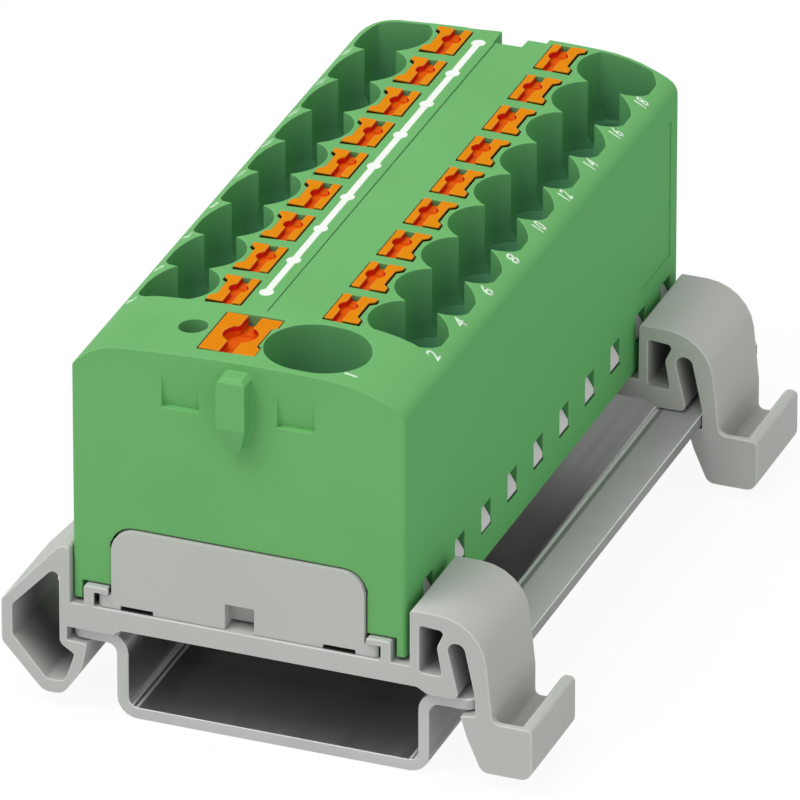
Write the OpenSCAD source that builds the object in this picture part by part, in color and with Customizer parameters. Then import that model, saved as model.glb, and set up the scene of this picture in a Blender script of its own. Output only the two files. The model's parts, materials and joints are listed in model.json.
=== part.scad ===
// Power distribution block with push-in contacts, clipped to a short top-hat rail by two spring feet.
// The origin is on the rail's underside, midway between its edges and between the housing's front and
// rear. X runs across the rail, Y along it, Z up.

/* [Contacts] */
// Distance between neighbouring contacts of a row
pitch = 5.93; // [5.4:0.01:7.2]
// From the front face to the first contact
lead_l = 12.12; // [12:0.01:16]
// From the last contact to the rear face
tail_l = 2.74; // [2.7:0.01:6]
// Radius of a wire entry
pit_r = 3.25; // [3:0.05:3.85]
// From the side face of the housing to the centre of a wire entry
pit_side = 4.48; // [4.3:0.01:5.2]
// Land left between a wire entry and the side face
pit_land = 1.34; // [1.2:0.01:2]
// Depth of the straight wall of a wire entry
pit_depth = 6.3; // [5:0.1:6.6]
// Depth of the funnel below it
funnel_depth = 1.6; // [1.2:0.1:2]
// Height of the tapered foot of a wire entry's wall
foot_taper_h = 1.1; // [0.6:0.1:2]
// Radius of the hole that guides the bare wire
wire_r = 1.75; // [1.2:0.05:2]
// Radius of the supply entry
supply_r = 3.96; // [3.4:0.02:4]
// Length of the straight between the two half circles of the supply entry
supply_straight = 0.84; // [0.2:0.02:0.9]
// Radius of the hole that guides the bare supply wire
supply_wire_r = 2.3; // [1.8:0.05:2.6]
// From the front face to the centre of the supply contact
supply_y = 4.9; // [4.8:0.01:5.2]
// Radius of the test hole
test_r = 1.2; // [0.8:0.05:1.4]

/* [Housing] */
// Width of the housing
block_w = 28.66; // [26:0.01:36]
// How far the housing's middle lies to the side of the rail's middle
block_x = -2.87; // [-4:0.01:0]
// Height of the top above the rail's underside
crown_z = 34.17; // [32:0.01:44]
// Radius of the arched top
crown_r = 147.2; // [120:0.1:400]
// Radius of the left shoulder
shoulder_l_r = 5.4; // [3:0.1:6]
// Radius of the right shoulder
shoulder_r_r = 12.4; // [8:0.1:13]
// Thickness of the outer walls
wall = 0.8; // [0.7:0.05:1]
// Radius of the upright outer edges
edge_r = 0.35; // [0.2:0.05:0.6]
// How far the key rib stands out of the front
rib_out = 1.7; // [1:0.05:2]
// Width of the key rib
rib_w = 2.45; // [1.8:0.05:3]
// Width of a side window
window_w = 2.16; // [1.6:0.02:2.6]

/* [Buttons] */
// Travel of a small button
button_travel = 1.5; // [1:0.1:1.8]
// Travel of the supply button
supply_travel = 2; // [1:0.1:2.2]
// Clearance around a button's head
button_gap = 0.12; // [0.08:0.01:0.16]
// Width of the screwdriver slot in a small button
slot_w = 0.83; // [0.6:0.01:1]
// Width of the screwdriver slot in the supply button
supply_slot_w = 1.14; // [0.8:0.01:1.4]

/* [Base] */
// Half the width of the base's flange
flange_half = 12.27; // [12:0.01:12.4]
// Half the width of the end panels
panel_half = 10.9; // [9:0.01:11]
// Height of the end panels above the seat
panel_h = 7.35; // [6.9:0.05:8]
// How far the front panel stands out of the housing
panel_out = 0.3; // [0.1:0.05:0.5]
// Thickness of the flange
flange_t = 1.23; // [1:0.01:1.25]

/* [Inner metal] */
// Thickness of the busbar
bar_t = 0.8; // [0.6:0.05:1]
// Thickness of a clamp spring
spring_t = 0.35; // [0.25:0.05:0.45]
// Width of a small clamp spring
spring_w = 3.6; // [3:0.1:4]

/* [Feet] */
// Length of a foot along the rail
foot_l = 9.87; // [8:0.01:12]
// How far the front foot stands out past the housing
foot_out = 0.55; // [0.1:0.05:1]
// Thickness of a foot's beam below the base
beam_t = 1.78; // [1.4:0.01:2]

/* [Rail] */
// Width of the rail over its flanges
rail_w = 35; // [34:0.1:36]
// Height of the rail
rail_h = 7.5; // [7.3:0.1:7.7]
// Thickness of the rail's sheet
rail_t = 1; // [0.8:0.1:1]
// Width of the rail's channel outside
hat_w = 27; // [25:0.5:28]
// How far the rail stands out past the front of the housing
rail_front = 0; // [-5:0.5:30]
// How far the rail stands out past the rear of the housing
rail_back = 4; // [-5:0.5:30]

/* [Hidden] */
$fn = 48;

// Contacts in a row, and angle of one step of a rounded corner
per_row = 9;
corner_step = 15;
// Overshoot of a cut past the face that it opens
cut = 0.5;

// Levels, from the rail's underside up
pad_gap = 0.12;
pad_drop = 0.5;
seat_z = rail_h + pad_gap + pad_drop + beam_t;
flange_z = seat_z + flange_t;
skirt_z = seat_z + 0.32;
sill_z = seat_z + 1.98;
panel_z = seat_z + panel_h;
window_z = seat_z + 2.98;
window_h = 2.37;
deck_z = seat_z + 5.65;
bar_z = deck_z + bar_t;
chamber_z = bar_z + 0.25;
pit_z = crown_z - pit_depth;
funnel_z = pit_z - funnel_depth;
ceiling_z = funnel_z - 1.2;

// Lengths, measured from the front face of the housing
block_l = lead_l + (per_row - 1) * pitch + tail_l;
half_w = block_w / 2;
chamber_half = (pitch - 0.7) / 2;
pit_front = 2.6;
pit_back = 2.4;
foot_taper = 0.2;
funnel_land = 0.05;
panel_gap = 0.12;
panel_edge_r = 2;
base_back = block_l - 0.35;
foot_back = block_l - 0.69;

// Outline of a button's head seen from above, measured from its round hole:
// left edge, right edge, waist edge, front, back, front ear, front neck, back ear, back neck
small_key = [1.12, 1.8, 1.32, 2.5, 1.96, 1.87, 1.42, 1.48, 1.06];
supply_key = [2.35, 2.41, 2, 3.26, 3.21, 1.9, 1.53, 1.97, 1.57];
// Land between a wire entry and the waist of its button
key_land = 0.56;
head_h = 3;
shaft_spare = 0.1;
foot_h = 1.6;
stem_gap = 0.15;
stem_small = [2.1, 3.2];
stem_supply = [3.4, 4.5];

// Places across the housing, measured from its middle
pit_x = half_w - pit_side;
button_x = pit_x - pit_r - key_land - small_key[2];
tongue_x = pit_x + wire_r + 0.05;
spring_x = button_x - 1.62;
chamber_x = spring_x - 0.3;
supply_pit_x = 5.01;
supply_button_x = -1.68;
supply_tongue_x = supply_pit_x + supply_wire_r + 0.05;
supply_spring_x = supply_button_x - 2.6;
test_x = -5.82;
test_y = 5.09;
inner_half = half_w - wall;

// Shoulders of the arched top, measured from the middle of the rail
crown_x = -0.15;
shoulder_l_x = block_x - half_w + 3.98;
shoulder_r_x = block_x + half_w - 6.66;

// Feet
groove_gap_l = 0.1;
groove_gap_r = 0.54;
rail_gap = 0.1;
foot_web = 0.63;

// Height of the top at a place across the rail, before the shoulders
function arch_z(x) = crown_z - (x - crown_x) * (x - crown_x) / (2 * crown_r);

// Points of an arc about a centre
function arc(mid, r, from, to, n) =
    [for (k = [0:n]) mid + r * [cos(from + (to - from) * k / n), sin(from + (to - from) * k / n)]];

function unit(v) = v / norm(v);
function flat(p) = [p[0], p[1]];

// Points that round the corner b between a and c by the radius b[2]
function corner(a, b, c) =
    b[2] == 0 ? [flat(b)] :
    let (u = unit(flat(a) - flat(b)),
         v = unit(flat(c) - flat(b)),
         bend = acos(u * v),
         reach = b[2] / tan(bend / 2),
         mid = flat(b) + unit(u + v) * b[2] / sin(bend / 2),
         first = flat(b) + u * reach - mid,
         last = flat(b) + v * reach - mid,
         start = atan2(first[1], first[0]),
         turn = (atan2(last[1], last[0]) - start + 540) % 360 - 180)
    arc(mid, b[2], start, start + turn, max(2, ceil(abs(turn) / corner_step)));

// Closed outline from corners of the form [x, y, radius]
function rounded(p) =
    [for (i = [0:len(p) - 1]) each corner(p[(i + len(p) - 1) % len(p)], p[i], p[(i + 1) % len(p)])];

// Open path from corners of the same form
function bent(p) =
    [for (i = [0:len(p) - 1])
        each (i == 0 || i == len(p) - 1 ? [flat(p[i])] : corner(p[i - 1], p[i], p[i + 1]))];

// Side step of a path at one of its points, for a strip of thickness t
function side_step(p, i, t) =
    let (a = unit(p[min(i + 1, len(p) - 1)] - p[i == len(p) - 1 ? i - 1 : i]),
         b = unit(p[i == 0 ? 1 : i] - p[max(i - 1, 0)]),
         na = [-a[1], a[0]],
         nb = [-b[1], b[0]])
    (na + nb) / (1 + na * nb) * t / 2;

// Outline of a strip of thickness t along a path
function strip(p, t) =
    concat([for (i = [0:len(p) - 1]) p[i] + side_step(p, i, t)],
           [for (i = [len(p) - 1:-1:0]) p[i] - side_step(p, i, t)]);

function box_corners(x0, y0, x1, y1, r) = [[x0, y0, r], [x1, y0, r], [x1, y1, r], [x0, y1, r]];

// Places children measured from the front face and the housing's middle
module in_block() translate([block_x, -block_l / 2, 0]) children();

// Draws a profile of X and Z along Y, from y0 to y1
module along(y0, y1) translate([0, y1, 0]) rotate([90, 0, 0]) linear_extrude(y1 - y0) children();

// Draws a profile of Y and Z along X, from x0 to x1
module across(x0, x1)
    translate([x0, 0, 0]) rotate([90, 0, 90]) linear_extrude(x1 - x0) children();

// Places children at contact i of a row, side 1 to the right and -1 to the left
module at_contact(side, i) translate([0, lead_l + i * pitch, 0]) at_side(side) children();

module at_side(side) {
    if (side < 0) mirror([1, 0, 0]) children();
    else children();
}

module block(x0, x1, y0, y1, z0, z1) translate([x0, y0, z0]) cube([x1 - x0, y1 - y0, z1 - z0]);

// Housing

function slope(x) = asin((x - crown_x) / crown_r);

// Points of the arched top, from the right side to the left
function top_points() =
    let (sr = -slope(shoulder_r_x),
         sl = -slope(shoulder_l_x),
         mid_r = [shoulder_r_x, arch_z(shoulder_r_x)] - shoulder_r_r * [-sin(sr), cos(sr)],
         mid_l = [shoulder_l_x, arch_z(shoulder_l_x)] - shoulder_l_r * [-sin(sl), cos(sl)],
         end_r = acos((block_x + half_w - mid_r[0]) / shoulder_r_r),
         end_l = acos(max(-1, (block_x - half_w - mid_l[0]) / shoulder_l_r)),
         steps = 6)
    concat(arc(mid_r, shoulder_r_r, end_r, 90 + sr, steps),
           [for (k = [1:steps - 1])
               let (x = shoulder_r_x + (shoulder_l_x - shoulder_r_x) * k / steps) [x, arch_z(x)]],
           arc(mid_l, shoulder_l_r, 90 + sl, end_l, steps));

module housing_body() {
    in_block() intersection() {
        along(0, block_l)
            translate([-block_x, 0])
                polygon(concat([[block_x - half_w, skirt_z], [block_x + half_w, skirt_z]], top_points()));
        translate([0, 0, skirt_z - cut])
            linear_extrude(crown_z)
                polygon(rounded(box_corners(-half_w, 0, half_w, block_l, edge_r)));
    }
}

// Key rib on the front, bevelled at the top, with a foot that narrows and slopes back
rib_foot_z = crown_z - 7.67;
rib_face_z = crown_z - 5.3;
rib_top_z = crown_z - 0.76;
rib_foot_w = 0.9;
rib_foot_out = 0.8;
front_bevel = 0.34;
side_bevel = 0.42;
module key_rib() {
    intersection() {
        across(-rib_w / 2, rib_w / 2)
            polygon([[wall, rib_foot_z], [-rib_foot_out, rib_foot_z], [-rib_out, rib_face_z],
                     [-rib_out, rib_top_z - front_bevel], [-rib_out + front_bevel, rib_top_z],
                     [wall, rib_top_z]]);
        along(-rib_out, wall)
            polygon([[rib_foot_w / 2, rib_foot_z], [rib_w / 2, rib_face_z],
                     [rib_w / 2, rib_top_z - side_bevel], [rib_w / 2 - side_bevel, rib_top_z],
                     [-rib_w / 2 + side_bevel, rib_top_z], [-rib_w / 2, rib_top_z - side_bevel],
                     [-rib_w / 2, rib_face_z], [-rib_foot_w / 2, rib_foot_z]]);
    }
}

// Notch in the rear that takes the next block's rib
notch_gap = 0.05;
notch_depth = rib_out + 0.43;
step_w = 1.7;
step_depth = 0.7;
step_z = crown_z - 1.17;
module key_notch() {
    block(-rib_w / 2 - notch_gap, rib_w / 2 + notch_gap, block_l - notch_depth, block_l + cut,
          rib_foot_z - notch_gap, crown_z + cut);
    block(0, rib_w / 2 + step_w, block_l - step_depth, block_l + cut, step_z, crown_z + cut);
}

// Wedge pockets on the front, deepest at the bottom
pocket_w = 3.15;
pocket_h = 2.92;
pocket_z = crown_z - 5.19;
pocket_x = 4.95;
pocket_depth = 0.5;
module wedge_pocket(x) {
    across(x - pocket_w / 2, x + pocket_w / 2)
        polygon([[-cut, pocket_z], [pocket_depth, pocket_z],
                 [0, pocket_z + pocket_h], [-cut, pocket_z + pocket_h]]);
}

// Stadium seen from above, long in X
module oval(r, straight, z0, z1) {
    translate([0, 0, z0]) linear_extrude(z1 - z0) union() {
        for (s = [-1, 1]) translate([s * straight / 2, 0]) circle(r);
        translate([-straight / 2, -r]) square([straight, 2 * r]);
    }
}

// Wire entry: pit with a tapered foot, funnel and guide hole. Pits run into each other, and the
// row's ends are cut flat
module wire_entry(i) {
    front = i == 0 ? pit_front : pitch;
    back = i == per_row - 1 ? pit_back : pitch;
    side = pit_side - pit_land;
    translate([pit_x, 0, 0]) {
        intersection() {
            union() {
                translate([0, 0, pit_z + foot_taper_h]) cylinder(h = pit_depth, r = pit_r);
                translate([0, 0, pit_z])
                    cylinder(h = foot_taper_h + 0.01, r1 = pit_r - foot_taper, r2 = pit_r);
            }
            block(-pit_r - cut, side, -front, back, pit_z - cut, crown_z + cut);
        }
        translate([0, 0, funnel_z])
            cylinder(h = funnel_depth + 0.01, r1 = wire_r,
                     r2 = min(pitch / 2, front, back, side) - funnel_land);
        translate([0, 0, ceiling_z - cut]) cylinder(h = funnel_z - ceiling_z + cut + 0.01, r = wire_r);
    }
}

module supply_entry() {
    translate([supply_pit_x, supply_y - 0.22, 0]) {
        oval(supply_r, supply_straight, pit_z, crown_z + cut);
        translate([0, 0, funnel_z])
            cylinder(h = funnel_depth + 0.01, r1 = supply_wire_r, r2 = supply_r - funnel_land);
        translate([0, 0, ceiling_z - cut])
            cylinder(h = funnel_z - ceiling_z + cut + 0.01, r = supply_wire_r);
    }
}

// Outline of a button's head, made larger all round by grow
module key_outline(k, grow) {
    polygon([[-k[0] - grow, -k[3] - grow], [k[1] + grow, -k[3] - grow], [k[1] + grow, -k[5] + grow],
             [k[2] + grow, -k[6] + grow], [k[2] + grow, k[8] - grow], [k[1] + grow, k[7] - grow],
             [k[1] + grow, k[4] + grow], [-k[0] - grow, k[4] + grow]]);
}

function head_z(x) = arch_z(x) + 0.12;
function shaft_z(top, travel) = top - head_h - travel - shaft_spare;

// Shaft of a button in the housing
module button_shaft(k, stem, top, travel) {
    translate([0, 0, shaft_z(top, travel)])
        linear_extrude(crown_z + cut - shaft_z(top, travel)) key_outline(k, button_gap);
    stem_box(k, stem, stem_gap, ceiling_z - cut, shaft_z(top, travel) + 0.01);
}

function stem_x(k) = 0.3 - k[0];

// Stem of a button, under its head
module stem_box(k, stem, grow, z0, z1) {
    block(stem_x(k) - grow, stem_x(k) + stem[0] + grow, k[8] - stem[1] - grow, k[8] + grow, z0, z1);
}

// Chamber of a small contact, below its wire entry and button
module chamber(i) {
    back = i == per_row - 1 ? tail_l - wall : chamber_half;
    block(chamber_x, inner_half, -chamber_half, back, chamber_z - cut, ceiling_z);
}

module supply_chamber() {
    block(supply_spring_x - 0.6 - test_r, supply_tongue_x + bar_t + 0.8, wall + 0.15,
          lead_l - chamber_half - 0.6, chamber_z - cut, ceiling_z);
}

// Room for the base, open at the bottom, and the openings for its end panels
module base_room() {
    block(-inner_half, inner_half, wall, block_l - wall, skirt_z - cut, chamber_z);
    along(-cut, block_l + cut)
        polygon(rounded([[-panel_half - panel_gap, skirt_z - 2, 0],
                         [panel_half + panel_gap, skirt_z - 2, 0],
                         [panel_half + panel_gap, panel_z + panel_gap, panel_edge_r],
                         [-panel_half - panel_gap, panel_z + panel_gap, panel_edge_r]]));
    for (y = [[-cut, wall + cut], [block_l - wall - cut, block_l + cut]])
        block(-half_w + wall, half_w - wall, y[0], y[1], skirt_z - cut, sill_z);
}

// Hollow in the middle of the moulding, open at the bottom
core_half = chamber_x - 0.8;
module core_hollow() {
    if (core_half > 0.4)
        block(-core_half, core_half, lead_l - chamber_half, block_l - notch_depth - 1,
              chamber_z - cut, crown_z - 2);
}

// Shallow field near the rear of the right side
field_depth = 0.08;
field_y = [block_l - 8.4, block_l - 1.75];
field_z = [crown_z - 17.07, crown_z - 4.62];
module side_field() {
    block(half_w - field_depth, half_w + cut, field_y[0], field_y[1], field_z[0], field_z[1]);
}

window_y = concat([supply_y + 0.2], [for (i = [0:per_row - 1]) lead_l + i * pitch]);
groove_x = -1.06;
groove_w = 0.15;
groove_y = lead_l - 3;

module housing() {
    color("mediumseagreen") {
        difference() {
            union() {
                housing_body();
                in_block() key_rib();
            }
            in_block() {
                base_room();
                for (side = [-1, 1], i = [0:per_row - 1]) at_contact(side, i) {
                    wire_entry(i);
                    chamber(i);
                    translate([button_x, 0, 0])
                        button_shaft(small_key, stem_small, head_z(block_x + side * button_x),
                                     button_travel);
                }
                supply_entry();
                supply_chamber();
                translate([supply_button_x, supply_y, 0])
                    button_shaft(supply_key, stem_supply, supply_top, supply_travel);
                translate([test_x, test_y, ceiling_z - cut])
                    cylinder(h = crown_z - ceiling_z + 2 * cut, r = test_r);
                for (side = [-1, 1], y = window_y) at_side(side)
                    block(inner_half - cut, half_w + cut, y - window_w / 2, y + window_w / 2,
                          window_z, window_z + window_h);
                side_field();
                core_hollow();
                key_notch();
                for (x = [-pocket_x, pocket_x]) wedge_pocket(x);
                block(groove_x - groove_w / 2, groove_x + groove_w / 2, groove_y, block_l + cut,
                      arch_z(block_x + groove_x) - 0.1, crown_z + cut);
            }
        }
    }
}

// Base

latch_w = window_w - 0.2;
latch_in = 0.15;
latch_out = half_w - 0.25;
post_z = seat_z + 2.3;
rib_every = 2;
rib_t = 0.8;

// Post at a side window, with the latch wedge that shows in it
module latch_post(y) {
    translate([0, y + latch_w / 2, 0]) rotate([90, 0, 0]) linear_extrude(latch_w)
        polygon([[panel_half - 0.4, post_z], [inner_half - latch_in, post_z],
                 [inner_half - latch_in, window_z + 0.08], [latch_out, window_z + 0.08],
                 [latch_out, window_z + 0.6], [inner_half - latch_in, window_z + window_h - 0.2],
                 [inner_half - latch_in, deck_z - 0.15], [panel_half - 0.4, deck_z - 0.15]]);
}

front_y = -panel_out;
panel_t = wall + panel_out;
foot_slot_w = 2.8;
foot_slot_h = 0.38;
foot_slot_x = 8.72;
foot_slot_l = 3;
mouth_x = 0.16;
mouth_w = 2.5;
mouth_z = seat_z + 2.32;
mouth_depth = 1.5;
// Slit under the mouth's back wall
slit_h = 0.24;
slit_depth = 0.6;

module end_panel(y0, y1) {
    along(y0, y1)
        polygon(rounded([[-panel_half, seat_z, 0], [panel_half, seat_z, 0],
                         [panel_half, panel_z, panel_edge_r], [-panel_half, panel_z, panel_edge_r]]));
}

module base() {
    color("darkgray") in_block() {
        difference() {
            union() {
                translate([0, 0, seat_z]) linear_extrude(flange_t)
                    polygon(rounded(box_corners(-flange_half, front_y, flange_half, base_back, wall)));
                end_panel(front_y, front_y + panel_t);
                end_panel(block_l - wall, base_back);
                block(mouth_x - mouth_w / 2 - wall, mouth_x + mouth_w / 2 + wall, 0,
                      front_y + mouth_depth + wall, seat_z, mouth_z + wall);
                for (side = [-1, 1]) at_side(side) {
                    block(panel_half - wall, panel_half, 0, block_l - wall, seat_z, deck_z);
                    for (y = window_y) latch_post(y);
                }
                for (i = [0:rib_every:per_row - 1]) translate([0, lead_l + (i - 0.5) * pitch, 0])
                    block(-panel_half + 0.1, panel_half - 0.1, -rib_t / 2, rib_t / 2, seat_z, deck_z);
            }
            for (x = [-foot_slot_x, foot_slot_x])
                block(x - foot_slot_w / 2, x + foot_slot_w / 2, front_y - cut, front_y + foot_slot_l,
                      seat_z - cut, seat_z + foot_slot_h);
            block(mouth_x - mouth_w / 2, mouth_x + mouth_w / 2, front_y - cut, front_y + mouth_depth,
                  seat_z - cut, mouth_z);
            block(mouth_x - mouth_w / 2, mouth_x + mouth_w / 2, front_y,
                  front_y + mouth_depth + slit_depth, seat_z - cut, seat_z + slit_h);
        }
    }
}

// Busbar and clamp springs

metal_gap = 0.12;
bar_half = tongue_x + bar_t;
tongue_w = min(3.6, 2 * (tail_l - wall - metal_gap));
tongue_z = ceiling_z - 2.6;
bar_front = wall + 0.4;
bar_back = block_l - wall - 0.4;

module busbar() {
    color("darkgoldenrod") in_block() {
        block(-bar_half, bar_half, bar_front, bar_back, deck_z, bar_z);
        for (side = [-1, 1], i = [0:per_row - 1]) at_contact(side, i)
            block(tongue_x, bar_half, -tongue_w / 2, tongue_w / 2, deck_z, tongue_z);
        block(supply_tongue_x, supply_tongue_x + bar_t, supply_y - tongue_w / 2 - 0.5,
              supply_y + tongue_w / 2 + 0.5, deck_z, tongue_z);
    }
}

spring_gap = 0.1;
// Leaf spring: an upright leg, a bend below the button and a clamp leg that slopes to the tongue
module leaf_spring(x0, x1, w, top) {
    along(-w / 2, w / 2)
        polygon(strip(bent([[x0 + spring_t / 2, bar_z, 0], [x0 + spring_t / 2, top - spring_t / 2, 0.9],
                            [x0 + 3.2, top - spring_t / 2, 1.2], [x1 - 0.4, bar_z + 1.4, 0]]), spring_t));
}

// Height of a button's underside at rest
function button_foot_z() = ceiling_z - stem_gap - foot_h;
spring_top = button_foot_z() - spring_gap;

module small_spring(side, i) {
    color("silver") in_block() at_contact(side, i)
        leaf_spring(spring_x, tongue_x, min(spring_w, tongue_w), spring_top);
}

module supply_spring() {
    color("silver") in_block() translate([0, supply_y, 0])
        leaf_spring(supply_spring_x, supply_tongue_x, spring_w + 1.2, spring_top);
}

// Buttons

supply_top = arch_z(block_x + supply_button_x) - 0.05;
slot_depth = 0.55;
supply_slot_depth = 0.9;
dimple_spare = 0.1;
dimple_r = 0.82;
supply_dimple_r = 1.45;
foot_wing = 0.4;

module release_button(k, stem, slot, depth, hole_r, top) {
    difference() {
        union() {
            translate([0, 0, top - head_h]) linear_extrude(head_h) key_outline(k, 0);
            stem_box(k, stem, 0, button_foot_z(), top - head_h + 0.01);
            block(stem_x(k), stem_x(k) + stem[0], k[8] - stem[1] - foot_wing, k[8] + foot_wing,
                  button_foot_z(), button_foot_z() + foot_h);
        }
        block(-slot / 2, slot / 2, -k[3] - cut, k[4] + cut, top - depth, top + cut);
        translate([0, 0, top - depth - dimple_spare]) cylinder(h = depth + cut, r = hole_r);
    }
}

module small_button(side, i) {
    color("orange") in_block() at_contact(side, i) translate([button_x, 0, 0])
        release_button(small_key, stem_small, slot_w, slot_depth, dimple_r,
                       head_z(block_x + side * button_x));
}

module supply_button() {
    color("orange") in_block() translate([supply_button_x, supply_y, 0])
        release_button(supply_key, stem_supply, supply_slot_w, supply_slot_depth, supply_dimple_r,
                       supply_top);
}

// Feet

// Side walls of the foot beside the housing's skirt
wall_l = block_x - half_w - groove_gap_l;
wall_r = block_x + half_w + groove_gap_r;
// Ends of the rail's slot
slot_l = -rail_w / 2 - rail_gap;
slot_r = rail_w / 2 + rail_gap;
pad_z = rail_h + pad_gap;
lip_z = rail_h - rail_t - rail_gap;
beam_z = pad_z + pad_drop;
// Left loop and right spring arm, kept clear of the rail and of the walls
loop_x = min(wall_l - 0.9, slot_l - foot_web);
arm_x = max(wall_r + 5.6, slot_r);
wall_h = 5;
loop_w = 4.1;
loop_t = 0.95;
hook_t = 0.85;
hook_z = seat_z + 1.82;
hook_gap = 0.1;
hook_lip = 1.25;
hook_foot_z = flange_z + 0.06;
tab_w = 4.86;
tab_z = seat_z - 3.9;
toe_z = seat_z - 8.5;

module foot_outline() {
    hook_l = block_x - flange_half - hook_gap;
    hook_r = block_x + flange_half + hook_gap;
    difference() {
        polygon(rounded([
            [wall_l, seat_z, 0.1], [wall_l, seat_z + wall_h, 0.25],
            [loop_x + 0.05, seat_z + wall_h, 1], [loop_x - loop_w - loop_t, seat_z - 0.84, 0.6],
            [loop_x - loop_w - loop_t, seat_z - 4.63, 0.8], [slot_l - 2.1, toe_z - 0.1, 1.2],
            [slot_l - 0.4, toe_z - 0.1, 1.1], [slot_l + 1.3, seat_z - 6, 2],
            [slot_l + 1.75, lip_z - 0.1, 0.15], [slot_l, lip_z, 0.1],
            [slot_l, pad_z, 0.05], [-hat_w / 2 - 0.1, pad_z, 0.3], [-hat_w / 2 + 0.6, beam_z, 0.3],
            [hat_w / 2 - 0.9, beam_z, 0.3], [hat_w / 2, pad_z, 0.4], [arm_x - 1.34, pad_z, 0.55],
            [arm_x - 2.54, seat_z + 2.79, 0.72], [arm_x - 1.0, seat_z + 2.79, 0.72],
            [arm_x, seat_z - 1.9, 0.5], [arm_x, lip_z, 0.1], [slot_r - 1.3, lip_z - 0.2, 0.12],
            [slot_r - 0.75, seat_z - 5.5, 2], [slot_r + 0.55, toe_z, 0.9],
            [arm_x + tab_w, toe_z, 1], [arm_x + tab_w, tab_z, 0.45],
            [arm_x + 1.5, tab_z, 0.7], [arm_x + 0.55, seat_z + wall_h + 0.1, 4.2],
            [wall_r, seat_z + wall_h + 0.1, 0.3], [wall_r, seat_z, 0.1],
            [hook_r + hook_t, seat_z, 0.1], [hook_r + hook_t, hook_z, 0.25],
            [hook_r - hook_lip, hook_z, 0.2], [hook_r - hook_lip, hook_foot_z, 0.1],
            [hook_r, hook_foot_z, 0.1], [hook_r, seat_z, 0.1],
            [hook_l, seat_z, 0.1], [hook_l, hook_foot_z, 0.1],
            [hook_l + hook_lip, hook_foot_z, 0.1], [hook_l + hook_lip, hook_z, 0.2],
            [hook_l - hook_t, hook_z, 0.25], [hook_l - hook_t, seat_z, 0.1]]));
        polygon(rounded([
            [loop_x, seat_z + 3.3, 0.5], [loop_x, seat_z - 3.9, 0.7], [slot_l + 0.65, seat_z - 4.7, 0.3],
            [slot_l - 0.2, toe_z + 1.1, 0.8], [slot_l - 1.8, toe_z + 1.1, 0.5],
            [loop_x - loop_w, seat_z - 3.9, 0.3], [loop_x - loop_w, seat_z - 1.15, 0.6]]));
        polygon(rounded([
            [wall_r + 0.8, seat_z - 0.4, 0.3], [wall_r + 2.75, seat_z - 0.45, 0.25],
            [wall_r + 2.3, seat_z + 2.16, 0.9], [wall_r + 3, seat_z + 3.7, 0.35],
            [wall_r + 0.8, seat_z + 3.85, 0.25]]));
    }
}

trough_w = 2.1;
trough_h = 2.3;
trough_wall = 0.6;
lip_ease = 0.45;
module foot(y0) {
    trough_x = arm_x + 1.45;
    color("darkgray") translate([0, y0 - block_l / 2, 0]) difference() {
        along(0, foot_l) foot_outline();
        along(trough_wall, foot_l + cut)
            polygon(rounded([[trough_x, tab_z - trough_h, 0.5],
                             [trough_x + trough_w, tab_z - trough_h, 0.3],
                             [trough_x + trough_w, tab_z - lip_ease, 0.6],
                             [trough_x + trough_w + lip_ease, tab_z, 0],
                             [trough_x + trough_w + lip_ease, tab_z + 2, 0],
                             [trough_x, tab_z + 2, 0]]));
    }
}

module front_adapter() foot(-foot_out);
module rear_adapter() foot(foot_back - foot_l);

// Rail

rail_bend = 1.3;
rail_corner = 1.2;
module din_rail() {
    side = (hat_w - rail_t) / 2;
    top = rail_h - rail_t / 2;
    path = bent([[-rail_w / 2, top, 0], [-side, top, rail_bend], [-side, rail_t / 2, rail_bend],
                 [side, rail_t / 2, rail_bend], [side, top, rail_bend], [rail_w / 2, top, 0]]);
    from = -block_l / 2 - rail_front;
    to = block_l / 2 + rail_back;
    color("lightgray") intersection() {
        along(from, to) polygon(strip(path, rail_t));
        translate([0, 0, -cut]) linear_extrude(rail_h + 2 * cut)
            polygon(rounded(box_corners(-rail_w / 2, from, rail_w / 2, to, rail_corner)));
    }
}

housing();
base();
front_adapter();
rear_adapter();
din_rail();
busbar();
supply_button();
supply_spring();

// Small buttons and springs are numbered from the front, the left one of each pair first
for (n = [1:2 * per_row]) {
    name = str(n < 10 ? "0" : "", n);
    side = n % 2 == 0 ? 1 : -1;
    i = floor((n - 1) / 2);
    small_button(side, i);
    small_spring(side, i);
}
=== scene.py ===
import json
import math
import bpy
import bmesh
from mathutils import Matrix, Vector
from mathutils.bvhtree import BVHTree
from mathutils.geometry import intersect_line_line_2d
from mathutils.kdtree import KDTree

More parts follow.
